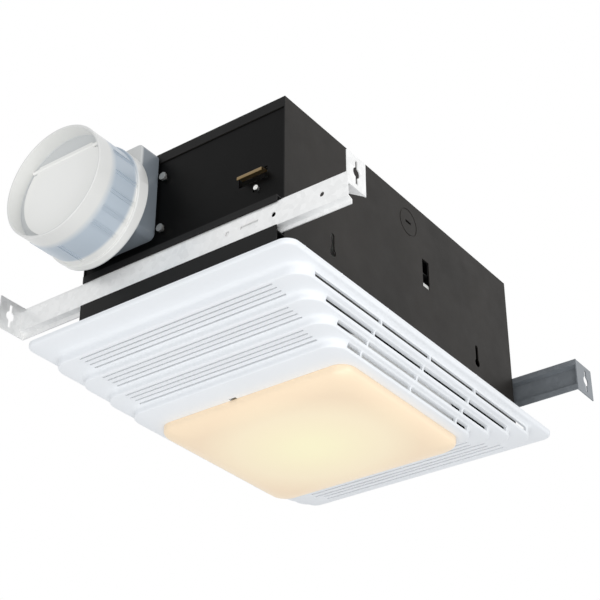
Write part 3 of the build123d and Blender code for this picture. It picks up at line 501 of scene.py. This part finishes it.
class FAN_OT_housing(bpy.types.Operator):
    """Dress the housing and its rails, and build the clip and the screws on its ends"""

    bl_idname = "fan.housing"
    bl_label = "Housing"

    def execute(self, context):
        finish = context.scene.fan_finish
        dress(self.wrap_coat(finish), "housing_wrap")
        # The end panels take the ends colour, which is painted shade
        dress(coated_steel("End coat in painted shade", finish.ends, 0.2, 0.4, 0.08), "duct_end_panel", "far_end_panel")
        dress(coated_steel("Rail coat", finish.rails, 0.2, 0.4, 0.15), "duct_end_rail", "far_end_rail")
        dress(plain_metal("Zinc screws", (0.6, 0.6, 0.58)), "connector_screws", "blower_screws")
        self.clip()
        self.screws()
        return {"FINISHED"}

    def wrap_coat(self, finish):
        """The coat of the long sides, with the ends' painted shade where the wrap turns over them."""
        material = coated_steel("Housing coat", finish.housing, 0.25, 0.5, 0.18)
        tree = material.node_tree
        shader = tree.nodes["Principled BSDF"]
        side_colour = shader.inputs["Base Color"].links[0].from_socket
        place = next(node for node in tree.nodes if node.bl_idname == "ShaderNodeTexCoord")
        split = tree.nodes.new("ShaderNodeSeparateXYZ")
        tree.links.new(place.outputs["Object"], split.inputs["Vector"])
        reach = tree.nodes.new("ShaderNodeMath")
        reach.operation = "ABSOLUTE"
        tree.links.new(split.outputs["X"], reach.inputs[0])
        # Painted shade mask: the faces past the end faces, where the wrap turns over the ends
        past = tree.nodes.new("ShaderNodeMath")
        past.operation = "GREATER_THAN"
        past.inputs[1].default_value = END_FACE_X * MM
        tree.links.new(reach.outputs["Value"], past.inputs[0])
        # In a colour mix, inputs 6 and 7 are the two colours and output 2 is the result
        mix = tree.nodes.new("ShaderNodeMix")
        mix.data_type = "RGBA"
        tree.links.new(past.outputs["Value"], mix.inputs["Factor"])
        tree.links.new(side_colour, mix.inputs[6])
        # The second colour is the ends' painted shade
        mix.inputs[7].default_value = (*finish.ends, 1)
        tree.links.new(mix.outputs[2], shader.inputs["Base Color"])
        return material

    def clip(self):
        """The clip on the duct end, a bent shelf with a lip."""
        shape = bmesh.new()
        loft(shape, [[(x, y, z) for x, z in CLIP_PROFILE] for y in CLIP_Y], capped=True)
        bronze = plain_metal("Bronze clip", (0.24, 0.17, 0.08), 0.35)
        piece("bent_clip", shape, bronze, "housing", "lanced_clip")

    def screws(self):
        """A small pan-head screw in each end panel, in place of the plain ones."""
        low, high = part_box("end_screws")
        y, z = -low.y / MM, (low.z + high.z) / 2 / MM
        shape = bmesh.new()
        for side in (-1, 1):
            for radius, start, end in SCREW_STEPS:
                rod(shape, radius, (side * start, side * y, z), (side * end, side * y, z), 24)
        bright = plain_metal("Bright screw", (0.8, 0.8, 0.78), 0.25)
        piece("panel_screws", shape, bright, "housing", "end_screws")


class FAN_OT_bars(bpy.types.Operator):
    """Dress the four hanger bars, the far two darkened with painted shade"""

    bl_idname = "fan.bars"
    bl_label = "Hanger bars"

    def execute(self, context):
        finish = context.scene.fan_finish
        dress(galvanised_steel("Galvanised bar", finish.bars), "duct_end_outer_bar", "duct_end_inner_bar")
        # The far bars' darker colour is painted shade and painted dark reflection on the same steel
        dress(galvanised_steel("Shaded bar", finish.far_bars_painted_shade), "far_end_outer_bar", "far_end_inner_bar")
        return {"FINISHED"}


class FAN_OT_duct(bpy.types.Operator):
    """Build the duct connector and dress its flap"""

    bl_idname = "fan.duct"
    bl_label = "Duct connector"

    def execute(self, context):
        shape = self.base()
        self.collar(shape)
        self.ribs(shape)
        self.stop(shape)
        plastic = self.plastic(context.scene.fan_finish)
        piece("duct_moulding", shape, plastic, "housing", "duct_connector")
        flap = moulded_plastic("Flap plastic with painted glow", context.scene.fan_finish.duct, 0.4)
        shader = flap.node_tree.nodes["Principled BSDF"]
        # The flap's emission is painted glow, standing in for light through the translucent collar
        shader.inputs["Emission Color"].default_value = (*context.scene.fan_finish.duct, 1)
        shader.inputs["Emission Strength"].default_value = FLAP_PAINTED_GLOW
        dress(flap, "damper_flap")
        return {"FINISHED"}

    def base(self):
        """The box on the housing's end, open behind, with a rectangular opening through its front."""
        back, front = BASE_X
        inside = front + BASE_WALL
        shape = bmesh.new()
        loft(shape, [
            self.base_ring(0, back),
            self.base_ring(0, front + BASE_CHAMFER),
            self.base_ring(BASE_CHAMFER, front),
            self.base_ring(BASE_OPENING, front),
            self.base_ring(BASE_OPENING, inside),
            self.base_ring(BASE_WALL, inside),
            self.base_ring(BASE_WALL, back),
        ], closed=True)
        return shape

    def base_ring(self, inset, x):
        """A rounded rectangle across the duct, inset from the base's outline."""
        corner = max(BASE_CORNER - inset, BASE_LEAST_CORNER)
        flat = rounded_ring(BASE_CENTRE, BASE_HALF[0] - inset, BASE_HALF[1] - inset, corner, 0)
        return [(x, y, z) for y, z, _ in flat]

    def collar(self, shape):
        """The collar's wall and the leaning band at its root."""
        loft(shape, [
            duct_ring(BAND_X[0], COLLAR_RADIUS),
            duct_ring(MOUTH_X + LIP_ROUND, COLLAR_RADIUS),
            duct_ring(MOUTH_X, COLLAR_RADIUS - LIP_ROUND),
            duct_ring(MOUTH_X, COLLAR_BORE + BORE_ROUND),
            duct_ring(MOUTH_X + BORE_ROUND, COLLAR_BORE),
            duct_ring(BAND_X[0], COLLAR_BORE),
        ], closed=True)
        loft(shape, [
            duct_ring(BAND_X[0], COLLAR_BORE + OVERLAP),
            duct_ring(BAND_X[0], BAND_RADIUS - LIP_ROUND),
            duct_ring(BAND_X[0] - LIP_ROUND, BAND_RADIUS, BAND_ROOT_LEAN),
            duct_ring(BAND_X[1] + LIP_ROUND, BAND_RADIUS, BAND_LEAN),
            duct_ring(BAND_X[1], BAND_RADIUS - LIP_ROUND, BAND_LEAN),
            duct_ring(BAND_X[1], COLLAR_RADIUS - OVERLAP, BAND_LEAN),
        ], closed=True)

    def ribs(self, shape):
        """Pairs of thin fins along the collar."""
        foot, crest = COLLAR_RADIUS - OVERLAP, COLLAR_RADIUS + RIB_HEIGHT
        for middle in RIB_ANGLES:
            for beside in (-RIB_APART, RIB_APART):
                angle = math.radians(middle + beside)
                across = Vector((0, -math.sin(angle), math.cos(angle))) * RIB_HALF_WIDTH
                rings = []
                for x in (BAND_X[1] + RIB_FROM_BAND, MOUTH_X + RIB_FROM_MOUTH):
                    ring = []
                    for radius, side in ((foot, -1), (crest, -1), (crest, 1), (foot, 1)):
                        y, z = DUCT_Y + radius * math.cos(angle), DUCT_Z + radius * math.sin(angle)
                        ring.append(Vector((x, y, z)) + across * side)
                    rings.append(ring)
                loft(shape, rings, capped=True)

    def stop(self, shape):
        """The ring that the flap rests on, and the plate above the flap's hinge."""
        root = COLLAR_BORE + OVERLAP
        front, back = (FLAP_X + offset for offset in STOP_X)
        loft(shape, [
            duct_ring(front, root),
            duct_ring(front, COLLAR_BORE - STOP_REACH),
            duct_ring(back, COLLAR_BORE - STOP_REACH),
            duct_ring(back, root),
        ], closed=True)
        first = math.asin(PLATE_LOW / root)
        arc = [first + (math.pi - 2 * first) * step / PLATE_STEPS for step in range(PLATE_STEPS + 1)]
        loft(shape, [
            [(x, DUCT_Y + root * math.cos(angle), DUCT_Z + root * math.sin(angle)) for angle in arc]
            for x in (FLAP_X + offset for offset in PLATE_X)
        ], capped=True)

    def plastic(self, finish):
        """Natural plastic with painted shade and painted glow: bluish painted shade at the ribs, pale at the
        band and the mouth, a darker tone of the painted shade at the base.
        """
        recipe = Recipe("Natural plastic", finish.duct, 0.3)
        split = recipe.nodes.new("ShaderNodeSeparateXYZ")
        recipe.links.new(recipe.place, split.inputs["Vector"])
        along = recipe.nodes.new("ShaderNodeMapRange")
        along.inputs["From Min"].default_value = MOUTH_X * MM
        along.inputs["From Max"].default_value = BASE_X[0] * MM
        recipe.links.new(split.outputs["X"], along.inputs["Value"])
        colours = recipe.ramp(
            along.outputs["Result"],
            (0.0, finish.duct), (0.17, finish.duct), (0.26, finish.duct_window_painted_shade), (0.54, finish.duct_window_painted_shade),
            (0.58, shade(finish.duct, 1.06)), (0.72, shade(finish.duct, 1.06)),
            (0.76, shade(finish.duct_window_painted_shade, 0.42)), (1.0, shade(finish.duct_window_painted_shade, 0.35)),
        )
        recipe.colour(colours)
        # Painted glow: the ramp's colours also drive a faint emission, though the plastic is no lamp
        recipe.links.new(colours, recipe.shader.inputs["Emission Color"])
        recipe.shader.inputs["Emission Strength"].default_value = DUCT_PAINTED_GLOW
        recipe.rough(recipe.noise(40, 2), 0.26, 0.38)
        recipe.bump(recipe.noise(900, 2), 0.04)
        return recipe.material


class FAN_OT_blower(bpy.types.Operator):
    """Dress the blower, its motor and their brackets"""

    bl_idname = "fan.blower"
    bl_label = "Blower and motor"

    def execute(self, context):
        sheet = galvanised_steel("Inner sheet", (0.62, 0.62, 0.6))
        dress(sheet, "blower_plate", "scroll_wall", "upper_motor_bridge", "lower_motor_bridge",
              "spring_brackets")
        dress(moulded_plastic("Black wheel", (0.03, 0.03, 0.03)), "blower_wheel")
        dress(plain_metal("Laminations", (0.2, 0.2, 0.2), 0.45), "motor_stator")
        dress(moulded_plastic("Wrapped coil", (0.4, 0.2, 0.06), 0.6, 0.2, 300), "motor_coil")
        dress(plain_metal("Machined steel", (0.5, 0.5, 0.5)), "motor_rotor", "wheel_clip", "motor_studs")
        return {"FINISHED"}


class FAN_OT_wiring(bpy.types.Operator):
    """Dress the wiring box and what it holds"""

    bl_idname = "fan.wiring"
    bl_label = "Wiring box"

    def execute(self, context):
        dress(coated_steel("Box sheet", (0.012, 0.012, 0.012)), "wiring_box", "wiring_cover")
        dress(moulded_plastic("Receptacle black", (0.03, 0.03, 0.03)), "motor_receptacle", "light_receptacle")
        dress(plain_metal("Green screw", (0.06, 0.3, 0.1)), "ground_screw")
        return {"FINISHED"}


class FAN_OT_lamp(bpy.types.Operator):
    """Dress the lamp pan, the socket and the bulb"""

    bl_idname = "fan.lamp"
    bl_label = "Lamp"

    def execute(self, context):
        dress(coated_steel("White enamel", (0.82, 0.82, 0.8), 0.02, 0.3), "lamp_pan")
        dress(plain_metal("Pan posts", (0.6, 0.6, 0.6)), "pan_posts", "socket_bracket")
        dress(moulded_plastic("Socket", (0.8, 0.78, 0.74), 0.35), "lamp_socket")
        dress(plain_metal("Cap brass", (0.75, 0.6, 0.3)), "bulb_cap")
        dress(moulded_plastic("Frosted bulb", (0.9, 0.89, 0.86), 0.5), "bulb_glass")
        return {"FINISHED"}


class FAN_OT_grille(bpy.types.Operator):
    """Build the stepped grille with its slots, and dress its springs"""

    bl_idname = "fan.grille"
    bl_label = "Grille"

    def execute(self, context):
        shape = bmesh.new()
        loft(shape, self.outer() + self.inner(), closed=True)
        shape = cut(shape, self.openings())
        self.knuckle_ears(shape)
        self.posts(shape)
        y = GRILLE_CENTRE[1] - RIM_HALF[1] + NUB_INSET
        for x in NUBS:
            rod(shape, NUB_RADIUS, (x, y, RIM_Z[1] + NUB_Z[0]), (x, y, RIM_Z[0] + NUB_Z[1]), 16)
        plastic = self.plastic(context.scene.fan_finish.grille)
        piece("stepped_grille", shape, plastic, "grille_unit", "grille")
        dress(plain_metal("Spring wire", (0.6, 0.6, 0.6)), "grille_springs")
        return {"FINISHED"}

    def ring(self, half_x, half_y, corner, z):
        """A ring about the grille's centre."""
        return rounded_ring(GRILLE_CENTRE, half_x, half_y, corner, z)

    def outer(self):
        """Rings down the seen side: the rim, then each riser with its cove above and its round edge below."""
        rings = [self.ring(*RIM_HALF, RIM_CORNER, RIM_Z[0])]
        for step in range(5):
            turn = math.radians(22.5 * step)
            inset = RIM_ROUND * (1 - math.cos(turn))
            low = RIM_Z[1] + RIM_ROUND * (1 - math.sin(turn))
            rings.append(self.ring(RIM_HALF[0] - inset, RIM_HALF[1] - inset, RIM_CORNER - inset, low))
        tread = RIM_Z[1]
        for half_x, half_y, low in TERRACES:
            for step in range(7):
                turn = math.radians(15 * step)
                out = COVE * (1 - math.sin(turn))
                drop = COVE * (1 - math.cos(turn))
                rings.append(self.ring(half_x + out, half_y + out, TERRACE_CORNER + out, tread - drop))
            for step in range(4):
                turn = math.radians(30 * step)
                inset = EDGE_ROUND * (1 - math.cos(turn))
                high = low + EDGE_ROUND * (1 - math.sin(turn))
                rings.append(self.ring(half_x - inset, half_y - inset, TERRACE_CORNER - inset, high))
            tread = low
        return rings

    def inner(self):
        """Rings back up the hidden side, from the lens opening to the rim."""
        floor = TERRACES[-1][2]
        opening = (LENS_HALF[0] - LENS_OVERLAP, LENS_HALF[1] - LENS_OVERLAP, LENS_CORNER - LENS_OVERLAP)
        rings = [rounded_ring(LENS_CENTRE, *opening, z) for z in (floor, floor + GRILLE_WALL)]
        treads = [RIM_Z[1]] + [low for _, _, low in TERRACES]
        for (half_x, half_y, low), tread in reversed(list(zip(TERRACES, treads))):
            size = (half_x - GRILLE_WALL, half_y - GRILLE_WALL, TERRACE_CORNER - GRILLE_WALL)
            rings += [self.ring(*size, z + GRILLE_WALL) for z in (low, tread)]
        size = (RIM_HALF[0] - GRILLE_WALL, RIM_HALF[1] - GRILLE_WALL, RIM_CORNER - GRILLE_WALL)
        rings += [self.ring(*size, z) for z in (RIM_Z[1] + GRILLE_WALL, RIM_Z[0])]
        return rings

    def openings(self):
        """Cutters for the slots in the risers, the slits in the end treads and the lens latch."""
        cutters = bmesh.new()
        x, y = GRILLE_CENTRE
        for (_, half_y, low), reach in zip(TERRACES, SLOT_HALVES):
            edges = [-reach]
            for web in WEBS:
                edges += [web - WEB_HALF_WIDTH, web + WEB_HALF_WIDTH]
            edges.append(reach)
            for start, end in zip(edges[::2], edges[1::2]):
                for side in (-1, 1):
                    near, far = sorted((y + side * (half_y - SLOT_CUT[0]), y + side * (half_y + SLOT_CUT[1])))
                    block(cutters, (x + start, near, low + SLOT_Z[0]), (x + end, far, low + SLOT_Z[1]))
        for (half_x, _, low), reach in zip(TERRACES, SLIT_HALVES):
            for side in (-1, 1):
                for step in range(SLIT_COUNT):
                    middle = x + side * (half_x - SLIT_FIRST - SLIT_PITCH * step)
                    block(cutters, (middle - SLIT_HALF_WIDTH, y - reach, low - CUT_BELOW),
                          (middle + SLIT_HALF_WIDTH, y + reach, low + SLIT_RISE))
        edge, floor = LENS_CENTRE[0] - LENS_HALF[0], TERRACES[-1][2]
        block(cutters, (edge - LATCH_X[0], LATCH_Y[0], floor - CUT_BELOW),
              (edge + LATCH_X[1], LATCH_Y[1], floor + LATCH_RISE))
        return cutters

    def knuckle_ears(self, shape):
        """Ears and pins at the far edge of the opening, which carry the lens."""
        x, z = HINGE
        for middle in KNUCKLES:
            for side in (-1, 1):
                ends = sorted((middle + side * EAR_Y[0], middle + side * EAR_Y[1]))
                rod(shape, KNUCKLE_RADIUS, (x, ends[0], z), (x, ends[1], z), 24)
                block(shape, (x - KNUCKLE_RADIUS, ends[0], z), (x + KNUCKLE_RADIUS, ends[1], z + EAR_RISE))
            rod(shape, HINGE_PIN_RADIUS, (x, middle - EAR_Y[1], z), (x, middle + EAR_Y[1], z), 16)

    def posts(self, shape):
        """Ears and pins that hold the two springs."""
        for x in POSTS:
            for side in (-1, 1):
                ends = sorted((side * POST_Y[0], side * POST_Y[1]))
                block(shape, (x - POST_HALF_WIDTH, ends[0], TERRACES[1][2] + POST_FOOT),
                      (x + POST_HALF_WIDTH, ends[1], POST_TOP))
            rod(shape, SPRING_PIN_RADIUS, (x, -POST_Y[1], SPRING_PIN_Z), (x, POST_Y[1], SPRING_PIN_Z), 24)

    def plastic(self, base):
        """White moulded plastic with a fine grain, faintly lighter and darker in places."""
        recipe = Recipe("White grille", base, 0.42)
        flow = recipe.noise(7, 3)
        recipe.colour(recipe.ramp(flow, (0.3, shade(base, 0.97)), (0.7, shade(base, 1.02))))
        recipe.rough(recipe.noise(45, 2), 0.38, 0.5)
        recipe.bump(recipe.noise(1500, 2), 0.04)
        return recipe.material


class FAN_OT_lens(bpy.types.Operator):
    """Build the lens, a shallow bowl with a painted glow that is warmer and dimmer towards its rim"""

    bl_idname = "fan.lens"
    bl_label = "Lens"

    def execute(self, context):
        shape = bmesh.new()
        outside = [self.ring(inset, z) for inset, z in LENS_PROFILE]
        inside = [self.ring(LENS_WALL, LENS_PROFILE[0][1])]
        inside += [self.ring(inset + LENS_WALL, z + LENS_WALL) for inset, z in LENS_PROFILE[1:]]
        loft(shape, inside[::-1] + outside, capped=True)
        x, z = HINGE
        for middle in KNUCKLES:
            near, far = middle - KNUCKLE_HALF_WIDTH, middle + KNUCKLE_HALF_WIDTH
            rod(shape, KNUCKLE_RADIUS, (x, near, z), (x, far, z), 24)
            block(shape, (x - KNUCKLE_FOOT, near, z - KNUCKLE_RADIUS), (x, far, z))
        piece("lens_bowl", shape, self.glow(context.scene.fan_finish), "lens_unit", "lens")
        return {"FINISHED"}

    def ring(self, inset, z):
        """A ring inset from the lens's outline."""
        return rounded_ring(LENS_CENTRE, LENS_HALF[0] - inset, LENS_HALF[1] - inset, LENS_CORNER, z)

    def glow(self, finish):
        """Cream plastic with a painted glow of the lit bulb behind: faint emission, and colour brightest in
        the middle and warmer and dimmer with the distance from it.
        """
        recipe = Recipe("Cream lens with painted glow", finish.lens_centre_painted_glow, 0.34)
        shift = recipe.nodes.new("ShaderNodeMapping")
        shift.vector_type = "TEXTURE"
        shift.inputs["Location"].default_value = (LENS_CENTRE[0] * MM, LENS_CENTRE[1] * MM, PAINTED_GLOW_FOOT)
        shift.inputs["Scale"].default_value = (
            LENS_HALF[0] * MM * PAINTED_GLOW_REACH, LENS_HALF[1] * MM * PAINTED_GLOW_REACH, PAINTED_GLOW_DEPTH,
        )
        recipe.links.new(recipe.place, shift.inputs["Vector"])
        ball = recipe.nodes.new("ShaderNodeTexGradient")
        ball.gradient_type = "SPHERICAL"
        recipe.links.new(shift.outputs["Vector"], ball.inputs["Vector"])
        # Painted glow: a ball of colour about the lens's middle, standing in for the lit bulb's light through
        # the plastic
        warm = recipe.ramp(ball.outputs["Fac"], (0.0, finish.lens_edge_painted_glow), (0.25, finish.lens_edge_painted_glow),
                           (0.5, finish.lens_middle_painted_glow), (0.95, finish.lens_centre_painted_glow))
        recipe.colour(warm)
        recipe.links.new(warm, recipe.shader.inputs["Emission Color"])
        recipe.shader.inputs["Emission Strength"].default_value = LENS_PAINTED_GLOW
        recipe.rough(recipe.noise(30, 2), 0.3, 0.4)
        return recipe.material


class FAN_OT_stage(bpy.types.Operator):
    """Set the floor, the lamps, the world and the camera"""

    bl_idname = "fan.stage"
    bl_label = "Stage"

    def execute(self, context):
        scene = context.scene
        stage = scene.fan_stage
        scene.view_settings.view_transform = "Standard"
        self.world(scene, stage)
        self.floor(scene)
        self.lamp(scene, "Key lamp", stage.key, *KEY_LAMP)
        self.lamp(scene, "Lamp below", stage.fill, *LAMP_BELOW)
        data = bpy.data.cameras.new("Camera")
        data.sensor_width = SENSOR_WIDTH
        data.lens = stage.lens
        camera = bpy.data.objects.new("Camera", data)
        scene.collection.objects.link(camera)
        azimuth, elevation = stage.camera_azimuth, stage.camera_elevation
        back = Vector((
            math.sin(azimuth) * math.cos(elevation),
            -math.cos(azimuth) * math.cos(elevation),
            math.sin(elevation),
        ))
        camera.location = CAMERA_PLACE
        camera.rotation_mode = "QUATERNION"
        camera.rotation_quaternion = (-back).to_track_quat("-Z", "Y")
        scene.camera = camera
        return {"FINISHED"}

    def world(self, scene, stage):
        """Even light, with pure white where the camera or a gloss looks past the object."""
        world = bpy.data.worlds.new("Studio")
        scene.world = world
        world.use_nodes = True
        tree = world.node_tree
        background = tree.nodes["Background"]
        background.inputs["Color"].default_value = (0.95, 0.97, 1.0, 1)
        background.inputs["Strength"].default_value = stage.world
        white = tree.nodes.new("ShaderNodeBackground")
        white.inputs["Color"].default_value = (1, 1, 1, 1)
        white.inputs["Strength"].default_value = 1.0
        path = tree.nodes.new("ShaderNodeLightPath")
        seen = tree.nodes.new("ShaderNodeMath")
        seen.operation = "MAXIMUM"
        tree.links.new(path.outputs["Is Camera Ray"], seen.inputs[0])
        tree.links.new(path.outputs["Is Glossy Ray"], seen.inputs[1])
        mix = tree.nodes.new("ShaderNodeMixShader")
        tree.links.new(seen.outputs["Value"], mix.inputs["Fac"])
        tree.links.new(background.outputs["Background"], mix.inputs[1])
        tree.links.new(white.outputs["Background"], mix.inputs[2])
        tree.links.new(mix.outputs["Shader"], tree.nodes["World Output"].inputs["Surface"])

    def floor(self, scene):
        """A plain pale floor well below the hanging object."""
        mesh = bpy.data.meshes.new("Floor")
        shape = bmesh.new()
        bmesh.ops.create_grid(shape, x_segments=1, y_segments=1, size=FLOOR_SIZE)
        shape.to_mesh(mesh)
        shape.free()
        floor = bpy.data.objects.new("Floor", mesh)
        floor.location.z = FLOOR_Z
        scene.collection.objects.link(floor)
        recipe = Recipe("Pale floor", (0.85, 0.85, 0.85), 0.8)
        recipe.colour(recipe.ramp(recipe.noise(3), (0.3, (0.84, 0.84, 0.84)), (0.7, (0.87, 0.87, 0.87))))
        mesh.materials.append(recipe.material)

    def lamp(self, scene, name, power, size, place):
        """A soft square lamp aimed at the object."""
        data = bpy.data.lights.new(name, "AREA")
        data.energy = power
        data.size = size
        lamp = bpy.data.objects.new(name, data)
        lamp.location = place
        lamp.rotation_mode = "QUATERNION"
        lamp.rotation_quaternion = (-Vector(place)).to_track_quat("-Z", "Y")
        scene.collection.objects.link(lamp)


class FAN_PT_panel(bpy.types.Panel):
    """Lists the colours, the stage settings and the operators of the fan"""

    bl_idname = "FAN_PT_panel"
    bl_label = "Bathroom Fan"
    bl_space_type = "VIEW_3D"
    bl_region_type = "UI"
    bl_category = "Bathroom Fan"

    def draw(self, context):
        for group in (context.scene.fan_finish, context.scene.fan_stage):
            for name in group.__annotations__:
                self.layout.prop(group, name)
        for operator in OPERATORS:
            self.layout.operator(operator.bl_idname)


OPERATORS = (
    FAN_OT_housing,
    FAN_OT_bars,
    FAN_OT_duct,
    FAN_OT_blower,
    FAN_OT_wiring,
    FAN_OT_lamp,
    FAN_OT_grille,
    FAN_OT_lens,
    FAN_OT_stage,
)
CLASSES = (FanFinish, FanStage, *OPERATORS, FAN_PT_panel)


def register():
    for cls in CLASSES:
        bpy.utils.register_class(cls)
    bpy.types.Scene.fan_finish = PointerProperty(type=FanFinish)
    bpy.types.Scene.fan_stage = PointerProperty(type=FanStage)


def unregister():
    del bpy.types.Scene.fan_finish
    del bpy.types.Scene.fan_stage
    for cls in reversed(CLASSES):
        bpy.utils.unregister_class(cls)


def main():
    register()
    for operator in OPERATORS:
        group, name = operator.bl_idname.split(".")
        getattr(getattr(bpy.ops, group), name)()


if __name__ == "__main__":
    main()
